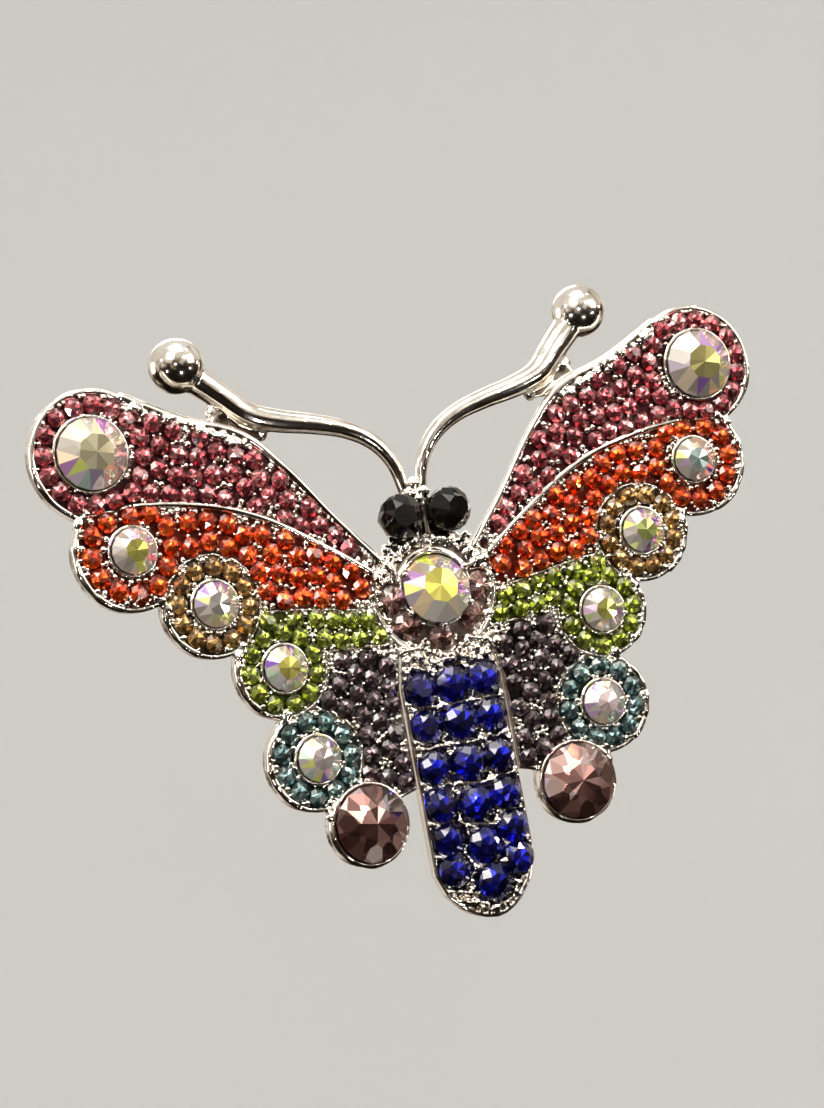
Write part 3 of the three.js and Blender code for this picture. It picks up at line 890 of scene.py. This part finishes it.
def replace_stone(
    node, place, material, girdle, rng,
    table=0.52, tilt=0.0, toward=0.0, number=None, r=None, stars=True, foot=0.6,
):
    """A cut stone that stands for a plain CAD one, with its size and its place."""
    low, high = bench_box(node, place)
    x, y = (low[:2] + high[:2]) / 2
    r = r or (high[0] - low[0]) / 2
    crown, back = high[2] - girdle, girdle - low[2] - 0.05
    gem = cut_gem("gem", r, table * r, crown, back, stars=stars, foot=foot)
    piece = set_stone(gem, seat(x, y, girdle, rng.uniform(0, 1), tilt, toward), rng, number)
    bpy.data.objects.remove(gem)
    piece.name = node + "_cut"
    return stand_up(piece, place, material, replaces=[node])


WING_GIRDLE = 2.25
THORAX_GIRDLE = 2.55
LOBE_COATINGS = {
    "right": {"fuchsia": 0.12, "orange": 0.72, "topaz": 0.42, "peridot": 0.34, "teal": 0.97},
    "left": {"fuchsia": 0.03, "orange": 0.30, "topaz": 0.88, "peridot": 0.20, "teal": 0.92},
}
for side, place in SIDES.items():
    for lobe, number in LOBE_COATINGS[side].items():
        node = lobe + "_lobe_crystal_" + side
        replace_stone(
            node, place, RAINBOW_CRYSTAL, WING_GIRDLE, crystal_rng,
            number=number, stars=False,
        )
replace_stone(
    "thorax_crystal", BENCH, RAINBOW_CRYSTAL, THORAX_GIRDLE, crystal_rng,
    tilt=0.2, toward=math.pi / 2, number=0.25, stars=False,
)

# ---- Drop stones and mauve stones ----
# Pale amethyst glass over foil: two large stones glued into cups at the foot of the wings, and
# five small ones in glue round the lower half of the thorax crystal.
# Amethyst glass from its darkest facets up to a near-white painted glint.
AMETHYST = (
    (0.0, (0.015, 0.006, 0.005)),
    (0.35, (0.07, 0.030, 0.024)),
    (0.6, (0.24, 0.115, 0.10)),
    (0.85, (0.60, 0.38, 0.35)),
    (1.0, (1.0, 0.88, 0.82)),
)
PALE_AMETHYST = foiled_glass("pale_amethyst", AMETHYST, sectors=12, slope=1.1, metallic=0.7)
mauve_rng = np.random.default_rng(5)
for side, place in SIDES.items():
    node = "tail_drop_stone_" + side
    replace_stone(node, place, PALE_AMETHYST, WING_GIRDLE, mauve_rng, 0.45)

mauve_gem = cut_gem("mauve_gem", MAUVE_R, 0.5 * MAUVE_R, 0.45, 0.7)
mauve_stones = []
for bearing in map(math.radians, MAUVE_ANGLES):
    x, y = MAUVE_RING * math.cos(bearing), MAUVE_RING * math.sin(bearing)
    place = seat(x, y, 2.15, bearing, math.radians(12), bearing)
    mauve_stones.append(set_stone(mauve_gem, place, mauve_rng))
bpy.data.objects.remove(mauve_gem)
stand_up(join(mauve_stones, "thorax_mauve_cut"), BENCH, PALE_AMETHYST)

# ---- Abdomen stones ----
# Eighteen cobalt blue foiled stones in three rows, the middle row larger. They are glued into
# the tray, and beads of the casting stand between them.
# Cobalt glass from its darkest facets up to a pale painted glint.
COBALT = (
    (0.0, (0.001, 0.001, 0.016)),
    (0.4, (0.002, 0.003, 0.08)),
    (0.7, (0.004, 0.006, 0.22)),
    (0.9, (0.008, 0.015, 0.75)),
    (1.0, (0.35, 0.45, 1.0)),
)
COBALT_GLASS = foiled_glass("cobalt_glass", COBALT, slope=0.5)
ABDOMEN_GIRDLE = 2.4
ROW_RADII = {
    "centre_sapphire_%d": CENTRE_R,
    "side_sapphire_%d_right": SIDE_R,
    "side_sapphire_%d_left": SIDE_R,
}
abdomen_rng = np.random.default_rng(8)
for i in range(1, 7):
    for row, r in ROW_RADII.items():
        tilt, toward = abdomen_rng.uniform(0, 0.12), abdomen_rng.uniform(0, 2 * math.pi)
        replace_stone(
            row % i, BENCH, COBALT_GLASS, ABDOMEN_GIRDLE, abdomen_rng,
            tilt=tilt, toward=toward, r=r,
        )

# ---- Eyes ----
# Two jet black cut glass stones, cut as deep beads, glued to the head plate and tipped a
# little apart.
JET = ((0.0, (0.001, 0.001, 0.001)), (0.7, (0.003, 0.003, 0.003)), (1.0, (0.012, 0.010, 0.009)))
JET_GLASS = foiled_glass("jet_glass", JET, slope=0.02, metallic=0.0, rough=0.04, coat=0.0)
JET_GLASS.node_tree.nodes["Principled BSDF"].inputs["Specular IOR Level"].default_value = 0.3
EYE_GIRDLE = 3.2
eye_rng = np.random.default_rng(2)
for side, toward in {"right": 0.0, "left": math.pi}.items():
    replace_stone(
        "eye_stone_" + side, BENCH, JET_GLASS, EYE_GIRDLE, eye_rng,
        table=0.5, tilt=0.15, toward=toward, foot=0.84,
    )


# ---- Pave stones ----
# Small foiled stones pressed side by side into a bed of dark glue, a ring round each large
# crystal and the rest filling the field. Tiny beads of plating are pushed up between them.
def bed_outline(node, place):
    """The edges round the top of a glued bed, as pairs of points on the flat wing."""
    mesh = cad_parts[node].data.copy()
    mesh.transform(place.inverted())
    return level_outline(mesh)


def settle(loose, fixed, outline, pitch, margin, rounds=160):
    """Pushes loose stones apart and away from the walls until they lie side by side."""
    loose = loose.copy()
    for _ in range(rounds):
        others = np.vstack([loose, fixed]) if len(fixed) else loose
        between = loose[:, None] - others
        distance = np.linalg.norm(between, axis=2)
        distance[distance < 1e-9] = 1e9
        push = np.clip(pitch - distance, 0, None) / distance
        loose += 0.3 * (between * push[..., None]).sum(1)
        gap, inwards = to_edge(loose, outline)
        loose += np.clip(margin - gap, 0, 0.3)[:, None] * inwards
    return loose


def thin_out(places, gaps, margin, pitch, chosen):
    """Keeps the places that have room, after the ones already chosen."""
    kept = list(chosen)
    for place, gap in zip(places, gaps):
        if gap > margin and min((np.linalg.norm(place - other) for other in kept), default=9) > pitch:
            kept.append(place)
    return np.array(kept).reshape(-1, 2)


def pack_bed(outline, ring, pitch, margin, rng):
    """Centres of the stones of one bed: its ring first, and then the field."""
    fixed = np.zeros((0, 2))
    if len(ring):
        gap, _ = to_edge(ring, outline)
        fixed = settle(ring[gap > -0.9], fixed, outline, pitch, margin)
        fixed = thin_out(fixed, to_edge(fixed, outline)[0], margin * 0.7, pitch * 0.8, [])
    low, high = outline.min((0, 1)), outline.max((0, 1))
    loose = np.zeros((0, 2))
    for _ in range(5):
        chosen = [*fixed, *loose]
        tries = rng.uniform(low, high, (2500, 2))
        gap = to_edge(tries, outline)[0]
        for place in tries[gap > margin * 0.8]:
            if min((np.linalg.norm(place - other) for other in chosen), default=9) > pitch * 0.8:
                chosen.append(place)
        loose = np.array(chosen[len(fixed):]).reshape(-1, 2)
        if len(loose):
            loose = settle(loose, fixed, outline, pitch, margin)
            gap = to_edge(loose, outline)[0]
            loose = thin_out(loose, gap, margin * 0.75, pitch * 0.85, fixed)[len(fixed):]
    return np.vstack([fixed, loose])


def ring_round(lobe, radius, count, start):
    x, y, _ = LOBES[lobe]
    angles = np.radians(start) + np.arange(count) * 2 * math.pi / count
    return np.stack([x + radius * np.cos(angles), y + radius * np.sin(angles)], 1)


PAVE = {
    "fuchsia": {"r": 0.75, "ring": ("fuchsia", 3.63, 16, 8)},
    "orange": {"r": 0.78, "ring": ("orange", 3.05, 12, 0)},
    "topaz": {"r": 0.74, "ring": ("topaz", 2.76, 12, 10)},
    "peridot": {"r": 0.74, "ring": ("peridot", 2.64, 11, 0)},
    "teal": {"r": 0.75, "ring": ("teal", 2.74, 11, -15)},
    "smoky": {"r": 0.76, "ring": None},
}
# Each bed's stone colours from dark facets up to the near-white painted glints at the top of each
# ramp.
PAVE_COLOURS = {
    "fuchsia": (
        (0.0, (0.060, 0.008, 0.012)),
        (0.35, (0.20, 0.030, 0.042)),
        (0.65, (0.46, 0.10, 0.115)),
        (0.86, (0.88, 0.38, 0.38)),
        (1.0, (1.0, 0.80, 0.76)),
    ),
    "orange": (
        (0.0, (0.12, 0.008, 0.002)),
        (0.4, (0.42, 0.03, 0.004)),
        (0.7, (0.80, 0.09, 0.01)),
        (0.9, (1.0, 0.22, 0.035)),
        (1.0, (1.0, 0.50, 0.20)),
    ),
    "topaz": (
        (0.0, (0.06, 0.028, 0.008)),
        (0.4, (0.20, 0.10, 0.03)),
        (0.7, (0.45, 0.27, 0.09)),
        (0.9, (0.85, 0.62, 0.28)),
        (1.0, (1.0, 0.90, 0.65)),
    ),
    "peridot": (
        (0.0, (0.035, 0.045, 0.003)),
        (0.4, (0.13, 0.17, 0.01)),
        (0.7, (0.33, 0.39, 0.05)),
        (0.9, (0.66, 0.74, 0.18)),
        (1.0, (0.92, 1.0, 0.50)),
    ),
    "teal": (
        (0.0, (0.010, 0.024, 0.026)),
        (0.4, (0.045, 0.095, 0.100)),
        (0.7, (0.18, 0.29, 0.29)),
        (0.9, (0.48, 0.64, 0.64)),
        (1.0, (0.85, 0.95, 0.90)),
    ),
    "smoky": (
        (0.0, (0.010, 0.006, 0.007)),
        (0.4, (0.035, 0.022, 0.025)),
        (0.7, (0.10, 0.07, 0.08)),
        (0.9, (0.30, 0.24, 0.26)),
        (1.0, (0.75, 0.70, 0.72)),
    ),
}
STONE_GIRDLE = 1.88
STONE_CROWN = 0.38
BEAD_TOP = 2.1


def glue_bed(name, tint):
    """The glue that the stones are pressed into: dark and uneven, with pale patches of painted
    highlight.
    """
    material = bpy.data.materials.new(name)
    material.use_nodes = True
    shader = material.node_tree.nodes["Principled BSDF"]
    glue = Signal(material.node_tree)
    place = glue.node("ShaderNodeTexCoord", output="Object")
    lumps = glue.node("ShaderNodeTexNoise", {}, {"Vector": place, "Scale": 900.0, "Detail": 3.0})
    # The palest stop paints highlights on the glue.
    shade = lumps.ramp(
        (0.35, tuple(0.2 * c for c in tint)),
        (0.62, tint),
        (0.80, (0.40, 0.35, 0.30)),
    )
    glue.feed(shader.inputs["Base Color"], shade)
    glue.feed(shader.inputs["Roughness"], 0.5 - lumps * 0.3)
    bump = glue.node("ShaderNodeBump", {}, {"Strength": 0.6, "Distance": 0.0002, "Height": lumps})
    glue.feed(shader.inputs["Normal"], bump)
    shader.inputs["Metallic"].default_value = 0.75
    return material


for colour, plan in PAVE.items():
    stops = PAVE_COLOURS[colour]
    glass = foiled_glass(colour + "_glass", stops, slope=0.3)
    glue = glue_bed(colour + "_glue", tuple(0.3 * c for c in stops[1][1]))
    r = plan["r"]
    outline = bed_outline(colour + "_pave_right", RIGHT_WING)
    ring = ring_round(*plan["ring"]) if plan["ring"] else np.zeros((0, 2))
    layout_rng = np.random.default_rng(21)
    centres = pack_bed(outline, ring, 1.9 * r, r * 0.7, layout_rng)
    stones_there = np.column_stack([centres, np.full(len(centres), 0.93 * r)])
    gaps = fill_gaps(stones_there, outline, 0.10, 0.3, layout_rng)
    gem = cut_gem("pave_gem", r, 0.5 * r, STONE_CROWN, 0.3, sides=6)
    for side, place in SIDES.items():
        rng = np.random.default_rng(31 if side == "right" else 47)
        stones = [
            set_stone(
                gem,
                seat(
                    x, y, STONE_GIRDLE + rng.normal(0, 0.03),
                    rng.uniform(0, math.pi), abs(rng.normal(0, 0.09)), rng.uniform(0, 2 * math.pi),
                ),
                rng,
            )
            for x, y in centres
        ]
        piece = join(stones, colour + "_stones_" + side)
        stand_up(piece, place, glass)
        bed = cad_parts[colour + "_pave_" + side]
        bed.data.materials.clear()
        bed.data.materials.append(glue)
        beads = [
            ball(x, y, BEAD_TOP - 1.6 * bead, bead * rng.uniform(1.0, 1.25), 1.5)
            for x, y, bead in gaps
            if rng.random() < 0.85
        ]
        if beads:
            only(beads[0])
            piece = join(beads, colour + "_beads_" + side)
            only(piece)
            bpy.ops.object.shade_smooth()
            stand_up(piece, place, PLATING)
    bpy.data.objects.remove(gem)

mauve_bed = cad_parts["thorax_mauve_stones"]
mauve_bed.data.materials.clear()
mauve_bed.data.materials.append(glue_bed("thorax_glue", (0.12, 0.08, 0.07)))


# ---- Pin parts ----
# The bar, bracket, rivet, stem, catch and turning lock are bought as one nickel-plated
# finding and soldered on. Stamped, turned and tumbled, so every edge is slightly round.
def nickel():
    material = bpy.data.materials.new("nickel_finding")
    material.use_nodes = True
    shader = material.node_tree.nodes["Principled BSDF"]
    metal = Signal(material.node_tree)
    place = metal.node("ShaderNodeTexCoord", output="Object")
    stretched = metal.node("ShaderNodeMapping", {}, {"Vector": place, "Scale": (60.0, 900.0, 900.0)})
    grain = metal.node("ShaderNodeTexNoise", {}, {"Vector": stretched, "Scale": 4.0, "Detail": 4.0})
    wear = metal.node("ShaderNodeTexNoise", {}, {"Vector": place, "Scale": 260.0, "Detail": 2.0})
    colour = wear.ramp((0.3, (0.52, 0.50, 0.47)), (0.7, (0.74, 0.73, 0.71)))
    metal.feed(shader.inputs["Base Color"], colour)
    metal.feed(shader.inputs["Roughness"], grain * 0.2 + wear * 0.1 + 0.12)
    bump = metal.node("ShaderNodeBump", {}, {"Strength": 0.2, "Distance": 0.00005, "Height": grain})
    metal.feed(shader.inputs["Normal"], bump)
    shader.inputs["Metallic"].default_value = 1.0
    return material


NICKEL = nickel()


def finding(node, body="brooch", edge=0.08):
    """A pin part from its CAD shape, with its flat faces made whole and its edges rounded."""
    piece = from_cad(node, node + "_finish", BENCH)
    edit(piece, (bpy.ops.mesh.dissolve_limited, {"angle_limit": math.radians(1.0)}))
    modify(
        piece, "BEVEL", width=edge, segments=3, limit_method="ANGLE",
        angle_limit=math.radians(35), use_clamp_overlap=True,
    )
    only(piece)
    bpy.ops.object.shade_smooth_by_angle(angle=math.radians(35))
    return stand_up(piece, BENCH, NICKEL, body, replaces=[node])


finding("pin_bar", edge=0.12)
finding("hinge_bracket")
finding("hinge_rivet", edge=0.06)
finding("pin_stem", "pin", edge=0.05)
finding("catch_housing")
finding("lock_sleeve", "lock", edge=0.06)
